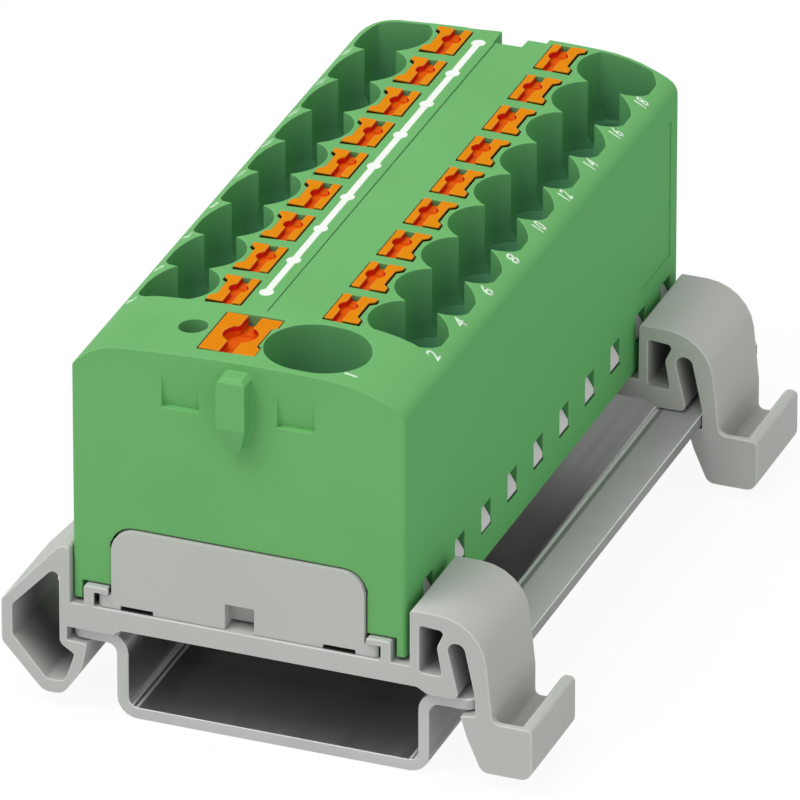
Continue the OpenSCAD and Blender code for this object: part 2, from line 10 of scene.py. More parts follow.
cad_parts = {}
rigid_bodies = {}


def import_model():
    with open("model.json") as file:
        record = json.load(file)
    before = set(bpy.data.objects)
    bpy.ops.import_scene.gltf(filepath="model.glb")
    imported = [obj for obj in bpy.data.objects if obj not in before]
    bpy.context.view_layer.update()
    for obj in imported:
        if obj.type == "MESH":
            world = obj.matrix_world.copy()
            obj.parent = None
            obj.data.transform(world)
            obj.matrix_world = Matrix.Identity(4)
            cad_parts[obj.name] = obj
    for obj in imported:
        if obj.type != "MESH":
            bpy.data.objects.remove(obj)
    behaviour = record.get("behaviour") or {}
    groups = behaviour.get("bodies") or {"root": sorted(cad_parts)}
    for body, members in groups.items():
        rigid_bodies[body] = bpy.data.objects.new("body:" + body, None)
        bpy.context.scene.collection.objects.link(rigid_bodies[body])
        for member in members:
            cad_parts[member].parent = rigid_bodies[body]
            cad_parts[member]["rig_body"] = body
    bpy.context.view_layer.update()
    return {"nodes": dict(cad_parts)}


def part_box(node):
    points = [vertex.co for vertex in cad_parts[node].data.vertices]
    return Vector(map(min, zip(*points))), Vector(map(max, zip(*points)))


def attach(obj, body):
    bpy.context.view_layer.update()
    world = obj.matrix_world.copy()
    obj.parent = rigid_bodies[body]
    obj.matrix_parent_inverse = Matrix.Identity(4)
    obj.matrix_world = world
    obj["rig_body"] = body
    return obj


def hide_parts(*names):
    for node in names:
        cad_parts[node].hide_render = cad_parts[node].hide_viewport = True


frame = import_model()
mm = 0.001
enlarge = 1000   # edges are worked on with a millimetre as the unit, because the finest are only microns long
frontY = 31.15   # the housing's front lies this far from the frame's middle
print("frame loaded:", len(frame["nodes"]), "parts")


def deselectAll():
    if bpy.context.object and bpy.context.object.mode != "OBJECT":
        bpy.ops.object.mode_set(mode="OBJECT")
    bpy.ops.object.select_all(action="DESELECT")


def selectOnly(piece):
    deselectAll()
    piece.select_set(True)
    bpy.context.view_layer.objects.active = piece


def applyModifier(piece, kind, label, **settings):
    selectOnly(piece)
    modifier = piece.modifiers.new(label, kind)
    for key, value in settings.items():
        setattr(modifier, key, value)
    bpy.ops.object.modifier_apply(modifier=modifier.name)


# camera and light
cameraSettings = {"azimuth": 21.199, "elevation": 28.069, "distance": 1.309, "lens": 723.4,
                  "lookAt": (-0.000664, -0.00115, 0.016355)}


def placeCamera(settings):
    turn = math.radians(settings["azimuth"])
    rise = math.radians(settings["elevation"])
    target = Vector(settings["lookAt"])
    away = Vector((math.sin(turn) * math.cos(rise), -math.cos(turn) * math.cos(rise), math.sin(rise)))
    deselectAll()
    bpy.ops.object.camera_add(location=target + away * settings["distance"],
                              rotation=away.to_track_quat("Z", "Y").to_euler())
    camera = bpy.context.object
    camera.name = "photoCamera"
    camera.data.lens = settings["lens"]
    camera.data.sensor_width = 36
    bpy.context.scene.camera = camera


placeCamera(cameraSettings)

lampSettings = {
    "keyLamp": {"place": (-0.35, -0.45, 1.25), "size": 0.7, "power": 10.2},
    "fillLamp": {"place": (0.9, -0.7, 0.8), "size": 0.9, "power": 1.15},
}


def placeLamp(name, settings):
    place = Vector(settings["place"])
    deselectAll()
    bpy.ops.object.light_add(type="AREA", location=place, rotation=place.to_track_quat("Z", "Y").to_euler())
    lamp = bpy.context.object
    lamp.name = name
    lamp.data.shape = "SQUARE"
    lamp.data.size = settings["size"]
    lamp.data.energy = settings["power"]


for lampName, lampChoice in lampSettings.items():
    placeLamp(lampName, lampChoice)


def addMath(tree, kind, first, second):
    # each of the two values is a socket or a number
    node = tree.nodes.new("ShaderNodeMath")
    node.operation = kind
    for place, value in ((0, first), (1, second)):
        if isinstance(value, float):
            node.inputs[place].default_value = value
        else:
            tree.links.new(value, node.inputs[place])
    return node.outputs[0]


def seenRays(tree):
    # 1 for camera, mirror and glass rays, 0 for the rays that carry light
    rays = tree.nodes.new("ShaderNodeLightPath").outputs
    direct = addMath(tree, "MAXIMUM", rays["Is Camera Ray"], rays["Is Glossy Ray"])
    return addMath(tree, "MAXIMUM", direct, rays["Is Transmission Ray"])


studioSettings = {"roomLight": 0.475, "floorColour": (0.8, 0.8, 0.8, 1), "floorSize": 6.0, "floorDrop": 0.02 * mm,
                  "floorGlow": 0.9, "glowStrength": 1.03}


def makeStudio(settings):
    world = bpy.data.worlds.new("studioWorld")
    bpy.context.scene.world = world
    world.use_nodes = True
    tree = world.node_tree
    tree.nodes.clear()
    out = tree.nodes.new("ShaderNodeOutputWorld")
    light = tree.nodes.new("ShaderNodeBackground")
    light.inputs["Color"].default_value = (1, 1, 1, 1)
    light.inputs["Strength"].default_value = settings["roomLight"]
    backdrop = tree.nodes.new("ShaderNodeBackground")
    backdrop.inputs["Color"].default_value = (1, 1, 1, 1)
    backdrop.inputs["Strength"].default_value = 1.0
    mix = tree.nodes.new("ShaderNodeMixShader")
    tree.links.new(seenRays(tree), mix.inputs[0])
    tree.links.new(light.outputs[0], mix.inputs[1])
    tree.links.new(backdrop.outputs[0], mix.inputs[2])
    tree.links.new(mix.outputs[0], out.inputs["Surface"])

    deselectAll()
    bpy.ops.mesh.primitive_plane_add(size=settings["floorSize"], location=(0, 0, -settings["floorDrop"]))
    floor = bpy.context.object
    floor.name = "studioFloor"
    paint = bpy.data.materials.new("paleFloor")
    paint.use_nodes = True
    tree = paint.node_tree
    tree.nodes.clear()
    out = tree.nodes.new("ShaderNodeOutputMaterial")
    matt = tree.nodes.new("ShaderNodeBsdfDiffuse")
    matt.inputs["Color"].default_value = settings["floorColour"]
    glow = tree.nodes.new("ShaderNodeEmission")
    glow.inputs["Color"].default_value = (1, 1, 1, 1)
    glow.inputs["Strength"].default_value = settings["glowStrength"]
    clear = tree.nodes.new("ShaderNodeBsdfTransparent")
    side = tree.nodes.new("ShaderNodeNewGeometry")
    lit = tree.nodes.new("ShaderNodeMixShader")
    oneSided = tree.nodes.new("ShaderNodeMixShader")
    tree.links.new(addMath(tree, "MULTIPLY", seenRays(tree), settings["floorGlow"]), lit.inputs[0])
    tree.links.new(matt.outputs[0], lit.inputs[1])
    tree.links.new(glow.outputs[0], lit.inputs[2])
    tree.links.new(side.outputs["Backfacing"], oneSided.inputs[0])
    tree.links.new(lit.outputs[0], oneSided.inputs[1])
    tree.links.new(clear.outputs[0], oneSided.inputs[2])
    tree.links.new(oneSided.outputs[0], out.inputs["Surface"])
    floor.data.materials.append(paint)


makeStudio(studioSettings)
bpy.context.scene.view_settings.view_transform = "Standard"
print("camera, lamps and floor placed")


# finishes
fineDetail = 3.0            # of the noises that make grain and rolling lines
cloudSpread = (0.35, 0.65)  # most of a coarse noise lies between these values
grainSpread = (0.3, 0.7)    # and most of a fine one between these


def startMaterial(name):
    paint = bpy.data.materials.new(name)
    paint.use_nodes = True
    tree = paint.node_tree
    tree.nodes.clear()
    out = tree.nodes.new("ShaderNodeOutputMaterial")
    surface = tree.nodes.new("ShaderNodeBsdfPrincipled")
    tree.links.new(surface.outputs[0], out.inputs["Surface"])
    place = tree.nodes.new("ShaderNodeTexCoord").outputs["Object"]
    return paint, tree, surface, place


def addNoise(tree, place, scale, detail=2.0, stretch=None):
    if stretch:
        mapping = tree.nodes.new("ShaderNodeMapping")
        mapping.inputs["Scale"].default_value = stretch
        tree.links.new(place, mapping.inputs["Vector"])
        place = mapping.outputs["Vector"]
    noise = tree.nodes.new("ShaderNodeTexNoise")
    noise.inputs["Scale"].default_value = scale
    noise.inputs["Detail"].default_value = detail
    tree.links.new(place, noise.inputs["Vector"])
    return noise.outputs["Fac"]


def addRange(tree, value, low, high, toLow, toHigh):
    spread = tree.nodes.new("ShaderNodeMapRange")
    spread.inputs["From Min"].default_value = low
    spread.inputs["From Max"].default_value = high
    spread.inputs["To Min"].default_value = toLow
    spread.inputs["To Max"].default_value = toHigh
    tree.links.new(value, spread.inputs["Value"])
    return spread.outputs["Result"]


def addBlend(tree, factor, first, second):
    blend = tree.nodes.new("ShaderNodeMix")
    blend.data_type = "RGBA"
    tree.links.new(factor, blend.inputs[0])
    for place, colour in ((6, first), (7, second)):
        if isinstance(colour, tuple):
            blend.inputs[place].default_value = (*colour, 1)
        else:
            tree.links.new(colour, blend.inputs[place])
    return blend.outputs[2]


def splitAxes(tree, vector):
    split = tree.nodes.new("ShaderNodeSeparateXYZ")
    tree.links.new(vector, split.inputs["Vector"])
    return split.outputs


def splitNormal(tree):
    return splitAxes(tree, tree.nodes.new("ShaderNodeNewGeometry").outputs["Normal"])


def addGrain(tree, surface, height, strength, depth, under=None):
    bump = tree.nodes.new("ShaderNodeBump")
    bump.inputs["Strength"].default_value = strength
    bump.inputs["Distance"].default_value = depth
    tree.links.new(height, bump.inputs["Height"])
    if under:
        tree.links.new(under, bump.inputs["Normal"])
    tree.links.new(bump.outputs["Normal"], surface.inputs["Normal"])
    return bump.outputs["Normal"]


def tintInward(tree, place, colour, settings):
    # painted shade: the walls of the wire entries are painted darker with their depth
    inward = tree.nodes.new("ShaderNodeAttribute")
    inward.attribute_name = "inward"
    return addBlend(tree, inward.outputs["Fac"], colour, settings["deep"])


def tintRight(tree, place, colour, settings):
    # painted light: faces that look to the right take a painted tint in place of the light on that side
    share = addRange(tree, splitNormal(tree)["X"], *settings["sideFacing"], 0.0, 1.0)
    return addBlend(tree, share, colour, settings["side"])


def tintHollow(tree, place, colour, settings):
    # painted shade: a foot's hollow is painted darker from both ends of the foot towards its middle
    along = splitAxes(tree, place)["Y"]
    first, last = settings["ends"]
    fromFirst = addRange(tree, along, first, first + settings["reach"], 0.0, 1.0)
    fromLast = addRange(tree, along, last - settings["reach"], last, 1.0, 0.0)
    return addBlend(tree, addMath(tree, "MINIMUM", fromFirst, fromLast), colour, settings["shaded"])


def tintBeside(tree, place, colour, settings):
    # upward faces beside the housing are a little lighter, against the green light from its side
    spot = splitAxes(tree, place)
    start, near, far = settings["besideReach"]
    falling = addRange(tree, spot["X"], near, far, 1.0, 0.0)
    rising = addRange(tree, spot["X"], start, near, 0.0, 1.0)
    behind = addRange(tree, spot["Y"], *settings["besideFront"], settings["besideLeast"], 1.0)
    band = addMath(tree, "MULTIPLY", addMath(tree, "MULTIPLY", falling, rising), behind)
    upward = addRange(tree, splitNormal(tree)["Z"], *settings["besideFacing"], 0.0, 1.0)
    return addBlend(tree, addMath(tree, "MULTIPLY", band, upward), colour, settings["beside"])


plasticTints = {"deep": tintInward, "side": tintRight, "ends": tintHollow, "beside": tintBeside}


def mouldedPlastic(name, settings):
    paint, tree, surface, place = startMaterial(name)
    cloud = addNoise(tree, place, settings["cloudScale"])
    fine = addNoise(tree, place, settings["grainScale"], fineDetail)
    soft = addNoise(tree, place, settings["waveScale"], settings["waveDetail"])
    shade = addRange(tree, cloud, *cloudSpread, 0.0, 1.0)
    colour = addBlend(tree, shade, settings["darker"], settings["lighter"])
    for key, addTint in plasticTints.items():
        if key in settings:
            colour = addTint(tree, place, colour, settings)
    tree.links.new(colour, surface.inputs["Base Color"])
    tree.links.new(addRange(tree, fine, *grainSpread, *settings["roughness"]), surface.inputs["Roughness"])
    waves = addGrain(tree, surface, soft, settings["waveStrength"], settings["waveDepth"])
    addGrain(tree, surface, fine, settings["grainStrength"], settings["grainDepth"], waves)
    surface.inputs["Specular IOR Level"].default_value = settings["gloss"]
    return paint


plasticSettings = {"grainScale": 4200, "grainStrength": 0.4, "grainDepth": 0.012 * mm, "waveDetail": 1.0,
                   "waveStrength": 0.3, "waveDepth": 0.03 * mm, "roughness": (0.5, 0.62)}
edgeFinish = {"roughness": (0.42, 0.52)}   # rounded edges are smoother than the faces

# the last colour of the green is the painted shade that the walls of the wire entries take with their depth
greenSettings = {**plasticSettings, "darker": (0.167, 0.474, 0.160), "lighter": (0.179, 0.502, 0.172),
                 "cloudScale": 110, "waveScale": 260, "gloss": 0.025, "deep": (0.112, 0.335, 0.172)}
# the right side gets a painted tint for the light that falls on it
greenPaintedSideSettings = {**greenSettings, "side": (0.148, 0.490, 0.162), "sideFacing": (0.75, 0.98)}
# the rounded edges are painted a lighter green, a painted highlight
greenHighlightSettings = {**greenSettings, **edgeFinish, "darker": (0.190, 0.510, 0.185), "lighter": (0.200, 0.530, 0.195)}
# the groove is painted a darker green, painted shade
grooveShadeSettings = {**greenSettings, "darker": (0.150, 0.430, 0.146), "lighter": (0.160, 0.450, 0.155)}
# the jambs of the side windows are painted a darker green, painted shade
windowSettings = {**greenSettings, "darker": (0.085, 0.320, 0.105), "lighter": (0.095, 0.340, 0.112)}
greenPlastic = mouldedPlastic("greenPlastic", greenPaintedSideSettings)
greenEdgeHighlight = mouldedPlastic("greenEdgeHighlight", greenHighlightSettings)
greenGrooveShade = mouldedPlastic("greenGrooveShade", grooveShadeSettings)
greenWindowShade = mouldedPlastic("greenWindowShade", windowSettings)

greySettings = {**plasticSettings, "darker": (0.548, 0.556, 0.528), "lighter": (0.568, 0.577, 0.548),
                "cloudScale": 90, "waveScale": 240, "gloss": 0.12}
# the rounded edges are painted a lighter grey, a painted highlight
greyHighlightSettings = {**greySettings, **edgeFinish, "darker": (0.575, 0.584, 0.555), "lighter": (0.595, 0.604, 0.575)}
# the latch faces in the side windows are painted a much lighter grey, painted light
latchLightSettings = {**greySettings, "darker": (0.760, 0.760, 0.750), "lighter": (0.800, 0.800, 0.790)}
footFaceSettings = {**greySettings, "beside": (0.690, 0.655, 0.680), "besideReach": (11.4 * mm, 11.6 * mm, 16.0 * mm),
                    "besideFront": (-32.5 * mm, -28.5 * mm), "besideLeast": 0.3, "besideFacing": (0.3, 0.95)}
# the feet's rounded edges are painted lighter still, a painted highlight
footHighlightSettings = {**greySettings, **edgeFinish, "darker": (0.68, 0.69, 0.665), "lighter": (0.71, 0.72, 0.695)}
# the hollows are painted darker grey, and darker still towards the middle of the foot, as painted shade
hollowShadeSettings = {**greySettings, "darker": (0.500, 0.507, 0.482), "lighter": (0.520, 0.527, 0.500),
                  "shaded": (0.190, 0.195, 0.185), "reach": 4.5 * mm}
greyPlastic = mouldedPlastic("greyPlastic", greySettings)
greyEdgeHighlight = mouldedPlastic("greyEdgeHighlight", greyHighlightSettings)
latchPaintedLight = mouldedPlastic("latchPaintedLight", latchLightSettings)
footPlastic = mouldedPlastic("footPlastic", footFaceSettings)
footEdgeHighlight = mouldedPlastic("footEdgeHighlight", footHighlightSettings)

# floor and wall are the painted shade in a button's slot, edge is a painted highlight, and side is the painted shade of
# the gap round a button
orangeSettings = {"face": (0.82, 0.268, 0.002), "floor": (0.80, 0.125, 0.006), "wall": (0.66, 0.022, 0.010),
                  "edge": (0.88, 0.36, 0.05), "side": (0.05, 0.012, 0.002), "darkest": 0.97, "faceDepth": 0.04 * mm,
                  "wallDepth": 0.14 * mm, "grainScale": 5200, "grainStrength": 0.35, "grainDepth": 0.01 * mm,
                  "roughness": (0.42, 0.54), "gloss": 0.02}


def orangePlastic(name, settings, top=None, slotFloor=0):
    # with the height of its top given, the plastic is painted red below it as painted shade: the walls of the slot more
    # than its floor
    paint, tree, surface, place = startMaterial(name)
    fine = addNoise(tree, place, settings["grainScale"], fineDetail)
    shade = addRange(tree, fine, *grainSpread, 0.0, 1.0)
    colour = addBlend(tree, shade, tuple(part * settings["darkest"] for part in settings["face"]), settings["face"])
    if top is not None:
        height = splitAxes(tree, place)["Z"]
        depth = addRange(tree, height, top - settings["wallDepth"], top - settings["faceDepth"], 1.0, 0.0)
        aboveFloor = addRange(tree, height, slotFloor, slotFloor + settings["faceDepth"], 0.0, 1.0)
        wall = addBlend(tree, aboveFloor, settings["floor"], settings["wall"])
        recess = addBlend(tree, splitNormal(tree)["Z"], wall, settings["floor"])
        colour = addBlend(tree, depth, colour, recess)
    tree.links.new(colour, surface.inputs["Base Color"])
    tree.links.new(addRange(tree, fine, *grainSpread, *settings["roughness"]), surface.inputs["Roughness"])
    addGrain(tree, surface, fine, settings["grainStrength"], settings["grainDepth"])
    surface.inputs["Specular IOR Level"].default_value = settings["gloss"]
    return paint


# the rounded edges of the buttons are painted a lighter orange, a painted highlight
orangeEdgeHighlight = orangePlastic("orangeEdgeHighlight", {**orangeSettings, "face": orangeSettings["edge"]})


def rolledMetal(name, settings):
    paint, tree, surface, place = startMaterial(name)
    lines = addNoise(tree, place, settings["lineScale"], fineDetail, settings["stretch"])
    spots = addNoise(tree, place, settings["spotScale"])
    shade = addRange(tree, spots, *grainSpread, 0.0, 1.0)
    colour = addBlend(tree, shade, settings["darker"], settings["lighter"])
    for tint, start, end in settings.get("tints", []):
        # along the rail the metal turns from its own colour to the tint, from the start to the end: painted light and
        # shade along the rail
        low, high = sorted((start, end))
        share = addRange(tree, splitAxes(tree, place)["Y"], low, high, float(start > end), float(start < end))
        colour = addBlend(tree, share, colour, tint)
    tree.links.new(colour, surface.inputs["Base Color"])
    tree.links.new(addRange(tree, lines, *grainSpread, *settings["roughness"]), surface.inputs["Roughness"])
    addGrain(tree, surface, lines, settings["lineStrength"], settings["lineDepth"])
    surface.inputs["Metallic"].default_value = settings["metal"]
    surface.inputs["Specular IOR Level"].default_value = settings["gloss"]
    return paint


zincSettings = {"darker": (0.375, 0.356, 0.370), "lighter": (0.515, 0.490, 0.508), "metal": 0.1, "lineScale": 900,
                "stretch": (1.0, 0.04, 1.0), "spotScale": 170, "roughness": (0.42, 0.55), "lineStrength": 0.25,
                "lineDepth": 0.008 * mm, "gloss": 0.3}
# the plate is painted lighter towards the front end of the rail, painted light
plateSettings = {**zincSettings, "tints": [((0.66, 0.626, 0.647), 26 * mm, -26 * mm)]}
# bright is a painted highlight for the rail's rounded edges and the upper bends
highlightZincSettings = {**zincSettings, "darker": (0.95, 0.95, 0.94), "lighter": (0.97, 0.97, 0.96), "metal": 0.0,
                  "roughness": (0.3, 0.4)}
# the channel is painted darker as painted shade, painted lighter by its open front end and darkest under the block
channelShadeSettings = {**zincSettings, "darker": (0.29, 0.29, 0.285), "lighter": (0.36, 0.36, 0.35), "metal": 1.0,
                   "roughness": (0.3, 0.42),
                   "tints": [((0.66, 0.66, 0.65), -22.5 * mm, -31.2 * mm), ((0.142, 0.153, 0.142), 6 * mm, 24 * mm)]}
# dull is painted shade on the outer sides of the rail and along its upper bends
shadeZincSettings = {**zincSettings, "darker": (0.27, 0.27, 0.26), "lighter": (0.33, 0.33, 0.32)}
# cut is the colour of the rail's cut ends, and also a painted highlight along the low bends of the channel
cutAndBendHighlightSettings = {**zincSettings, "darker": (0.54, 0.552, 0.535), "lighter": (0.60, 0.612, 0.595),
               "stretch": (0.1, 1.0, 1.0), "roughness": (0.5, 0.6), "gloss": 0.2}
bareMetal = {"metal": 1.0, "spotScale": 300, "lineStrength": 0.25, "gloss": 0.5}
copperSettings = {**bareMetal, "darker": (0.66, 0.50, 0.24), "lighter": (0.76, 0.60, 0.32), "lineScale": 1200,
                  "stretch": (1.0, 0.05, 1.0), "roughness": (0.25, 0.38), "lineDepth": 0.006 * mm}
springSettings = {**bareMetal, "darker": (0.52, 0.52, 0.51), "lighter": (0.60, 0.60, 0.59), "lineScale": 1500,
                  "stretch": (1.0, 1.0, 0.05), "roughness": (0.22, 0.34), "lineDepth": 0.005 * mm}
zincPlate = rolledMetal("zincPlate", plateSettings)
zincPaintedHighlight = rolledMetal("zincPaintedHighlight", highlightZincSettings)
zincChannelShade = rolledMetal("zincChannelShade", channelShadeSettings)
zincPaintedShade = rolledMetal("zincPaintedShade", shadeZincSettings)
cutSteelAndBendHighlight = rolledMetal("cutSteelAndBendHighlight", cutAndBendHighlightSettings)
tinnedCopper = rolledMetal("tinnedCopper", copperSettings)
springSteel = rolledMetal("springSteel", springSettings)

printSettings = {"lineColour": (0.96, 1.0, 0.94), "markColour": (0.78, 0.98, 0.77), "darkest": 0.95, "grainScale": 5000,
                 "grainStrength": 0.3, "grainDepth": 0.006 * mm, "roughness": (0.55, 0.7), "gloss": 0.1}


def printInk(name, colour, settings):
    paint, tree, surface, place = startMaterial(name)
    fine = addNoise(tree, place, settings["grainScale"], fineDetail)
    shade = addRange(tree, fine, *grainSpread, 0.0, 1.0)
    thin = tuple(part * settings["darkest"] for part in colour)
    tree.links.new(addBlend(tree, shade, thin, colour), surface.inputs["Base Color"])
    tree.links.new(addRange(tree, fine, *grainSpread, *settings["roughness"]), surface.inputs["Roughness"])
    addGrain(tree, surface, fine, settings["grainStrength"], settings["grainDepth"])
    surface.inputs["Specular IOR Level"].default_value = settings["gloss"]
    return paint


lineInk = printInk("lineInk", printSettings["lineColour"], printSettings)
markInk = printInk("markInk", printSettings["markColour"], printSettings)
print("finishes made")


# parts with rounded edges: these settings are the same for all of them, with lengths in mm and angles in degrees
# the rounded edges take the material in the highlight slot, which is painted lighter as a painted highlight
roundingSettings = {"steps": 2, "sharp": 28, "smooth": 32, "merge": 0.02, "flat": 0.6, "room": 2.3, "attempts": 12,
                    "reaches": (0.3, 0.6, 1.2), "highlightSlot": 1}


def copyPart(node):
    source = frame["nodes"][node]
    piece = bpy.data.objects.new(node + "Finished", source.data.copy())
    bpy.context.scene.collection.objects.link(piece)
    piece.data.transform(Matrix.Scale(enlarge, 4))
    piece.data.materials.clear()
    return piece


def edgesToRound(mesh, settings):
    # an edge is rounded where it turns sharply and both its faces are wide enough to give way
    room = settings["round"] * settings["room"]
    chosen = set()
    for edge in mesh.edges:
        if len(edge.link_faces) != 2 or edge.calc_face_angle() < math.radians(settings["sharp"]):
            continue
        start, end = edge.verts[0].co, edge.verts[1].co
        along = (end - start).normalized()
        widths = [max(((vert.co - start) - along * (vert.co - start).dot(along)).length for vert in face.verts)
                  for face in edge.link_faces]
        if min(widths) > room:
            chosen.add(edge.index)
    return chosen


def outlineCrossings(face):
    # places where a face's outline runs over itself
    flat = max(range(3), key=lambda axis: abs(face.normal[axis]))
    across, up = [axis for axis in range(3) if axis != flat]
    spots = [vert.co for vert in face.verts]
    points = [Vector((spot[across], spot[up])) for spot in spots]
    count = len(points)
    sides = [(points[k], points[(k + 1) % count]) for k in range(count)]
    found = []
    for k in range(count):
        start, end = sides[k]
        lowX, highX = sorted((start.x, end.x))
        lowY, highY = sorted((start.y, end.y))
        for other in range(k + 2, count - (k == 0)):
            first, second = sides[other]
            if max(first.x, second.x) < lowX or min(first.x, second.x) > highX:
                continue
            if max(first.y, second.y) < lowY or min(first.y, second.y) > highY:
                continue
            crossing = intersect_line_line_2d(start, end, first, second)
            if crossing and (end - start).length > 0:
                share = (crossing - start).length / (end - start).length
                found.append(spots[k].lerp(spots[(k + 1) % count], share))
    return found


def roundEdges(piece, settings):
    # where two roundings would run into each other, the shortest edge there stays sharp, and the rounding is made
    # again; in the later tries all the edges there stay sharp
    plain = piece.data
    mesh = bmesh.new()
    mesh.from_mesh(plain)
    mesh.verts.ensure_lookup_table()
    chosen = edgesToRound(mesh, settings)
    corners = KDTree(len(mesh.verts))
    for vert in mesh.verts:
        corners.insert(vert.co, vert.index)
    corners.balance()
    for attempt in range(settings["attempts"]):
        piece.data = plain.copy()
        weight = piece.data.attributes.new("bevel_weight_edge", "FLOAT", "EDGE")
        weight.data.foreach_set("value", [float(k in chosen) for k in range(len(plain.edges))])
        applyModifier(piece, "BEVEL", "roundedEdges", width=settings["round"], segments=settings["steps"],
                      limit_method="WEIGHT", use_clamp_overlap=False, loop_slide=True, material=settings["highlightSlot"])
        rounded = bmesh.new()
        rounded.from_mesh(piece.data)
        crossings = [spot for face in rounded.faces if len(face.verts) > 3 for spot in outlineCrossings(face)]
        rounded.free()
        if not crossings:
            break
        early = attempt < settings["attempts"] / 2
        for spot in crossings:
            for reach in settings["reaches"]:
                near = {edge.index: edge.calc_length() for _, k, _ in corners.find_range(spot, reach)
                        for edge in mesh.verts[k].link_edges if edge.index in chosen}
                if near:
                    chosen.difference_update([min(near, key=near.get)] if early else near)
                    break
    mesh.free()
    print(piece.name, "has", len(chosen), "rounded edges after", attempt + 1, "tries")
    if crossings:
        print(len(crossings), "crossings left on", piece.name)


def softenShoulder(piece, settings):
    # the long edge between the top and the right side is cut round by planes that touch one arc
    mesh = bmesh.new()
    mesh.from_mesh(piece.data)
    right = max(vert.co.x for vert in mesh.verts)
    onSide = [edge for edge in mesh.edges if len(edge.link_faces) == 2
              and min(vert.co.x for vert in edge.verts) > right - settings["near"]
              and max(face.normal.z for face in edge.link_faces) < settings["level"]]
    edge = max(onSide, key=lambda edge: min(vert.co.z for vert in edge.verts))
    turn = math.asin(max(face.normal.z for face in edge.link_faces))
    radius = settings["width"] / math.tan(turn / 2)
    middle = Vector((right - radius, 0, edge.verts[0].co.z - settings["width"]))
    for count in range(1, settings["steps"] + 1):
        angle = turn * count / (settings["steps"] + 1)
        normal = Vector((math.cos(angle), 0, math.sin(angle)))
        cut = bmesh.ops.bisect_plane(mesh, geom=mesh.verts[:] + mesh.edges[:] + mesh.faces[:], dist=settings["exact"],
                                     plane_co=middle + normal * radius, plane_no=normal, clear_outer=True)
        rim = [part for part in cut["geom_cut"] if isinstance(part, bmesh.types.BMEdge)]
        facet = bmesh.ops.contextual_create(mesh, geom=rim)["faces"]
        bmesh.ops.recalc_face_normals(mesh, faces=facet)
    print("shoulder softened over", round(math.degrees(turn)), "degrees")
    mesh.to_mesh(piece.data)
    mesh.free()


def finishPart(node, paints, settings):
    piece = copyPart(node)
    for paint in paints:
        piece.data.materials.append(paint)
    selectOnly(piece)
    bpy.ops.object.mode_set(mode="EDIT")
    bpy.ops.mesh.select_all(action="SELECT")
    bpy.ops.mesh.customdata_custom_splitnormals_clear()
    bpy.ops.mesh.remove_doubles(threshold=settings["merge"])
    bpy.ops.mesh.dissolve_limited(angle_limit=math.radians(settings["flat"]))
    for place, direction in settings.get("cuts", []):
        bpy.ops.mesh.select_all(action="SELECT")
        bpy.ops.mesh.bisect(plane_co=place, plane_no=direction)
    bpy.ops.object.mode_set(mode="OBJECT")
    if "shoulder" in settings:
        softenShoulder(piece, settings["shoulder"])
    roundEdges(piece, settings)
    applyModifier(piece, "TRIANGULATE", "triangles", min_vertices=5, ngon_method="BEAUTY")
    selectOnly(piece)
    bpy.ops.object.shade_smooth_by_angle(angle=math.radians(settings["smooth"]))
    applyModifier(piece, "WEIGHTED_NORMAL", "flatFaces", keep_sharp=True)
    piece.data.transform(Matrix.Scale(1 / enlarge, 4))
    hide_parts(node)
    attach(piece, frame["nodes"][node]["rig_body"])
    return piece


def outerSkin(mesh):
    # the upper outline of the section across a mesh, as corners from left to right in mm
    skin = []
    for spot in sorted({(round(vert.co.x / mm, 2), round(vert.co.z / mm, 2)) for vert in mesh.vertices}):
        while len(skin) > 1 and ((skin[-1][0] - skin[-2][0]) * (spot[1] - skin[-2][1])
                                 - (skin[-1][1] - skin[-2][1]) * (spot[0] - skin[-2][0])) >= 0:
            skin.pop()
        skin.append(spot)
    return skin


def roofOver(skin, x):
    for start, end in zip(skin, skin[1:]):
        if start[0] <= x <= end[0] and end[0] > start[0]:
            return start[1] + (end[1] - start[1]) * (x - start[0]) / (end[0] - start[0])
    return skin[-1][1]


def clampShare(value):
    return min(1, max(0, value))


def markInward(piece, settings):
    # how far each point of the housing lies below its outer skin, for the painted shade in the wire entries
    mesh = piece.data
    skin = outerSkin(mesh)
    low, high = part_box("housing")
    values = []
    for vert in mesh.vertices:
        x, y, z = vert.co / mm
        fromSides = min(x - low.x / mm, high.x / mm - x, y + frontY)
        inside = clampShare((fromSides - settings["skin"]) / settings["skinFade"])
        ahead = clampShare((high.y / mm - y) / settings["rearFade"] - 1)
        below = roofOver(skin, x) - z - settings["rim"]
        deep = settings["start"] + (1 - settings["start"]) * min(1, below / settings["depth"])
        values.append(inside * ahead * deep if below > 0 else 0)
    mesh.attributes.new("inward", "FLOAT", "POINT").data.foreach_set("value", values)


housingSettings = {**roundingSettings, "round": 0.1,
                   "shoulder": {"width": 0.95, "steps": 5, "near": 0.01, "level": 0.99, "exact": 0.00001}}
housingSlots = {"grooveShade": 2, "window": 3}
housing = finishPart("housing", [greenPlastic, greenEdgeHighlight, greenGrooveShade, greenWindowShade], housingSettings)
housingMiddle = -2.87 * mm
windowReach = {"low": 12.8 * mm, "high": 15.4 * mm, "out": 13.3 * mm, "facing": 0.3}
grooveReach = {"x": -3.93 * mm, "half": 0.2 * mm, "bottom": 33.9 * mm}
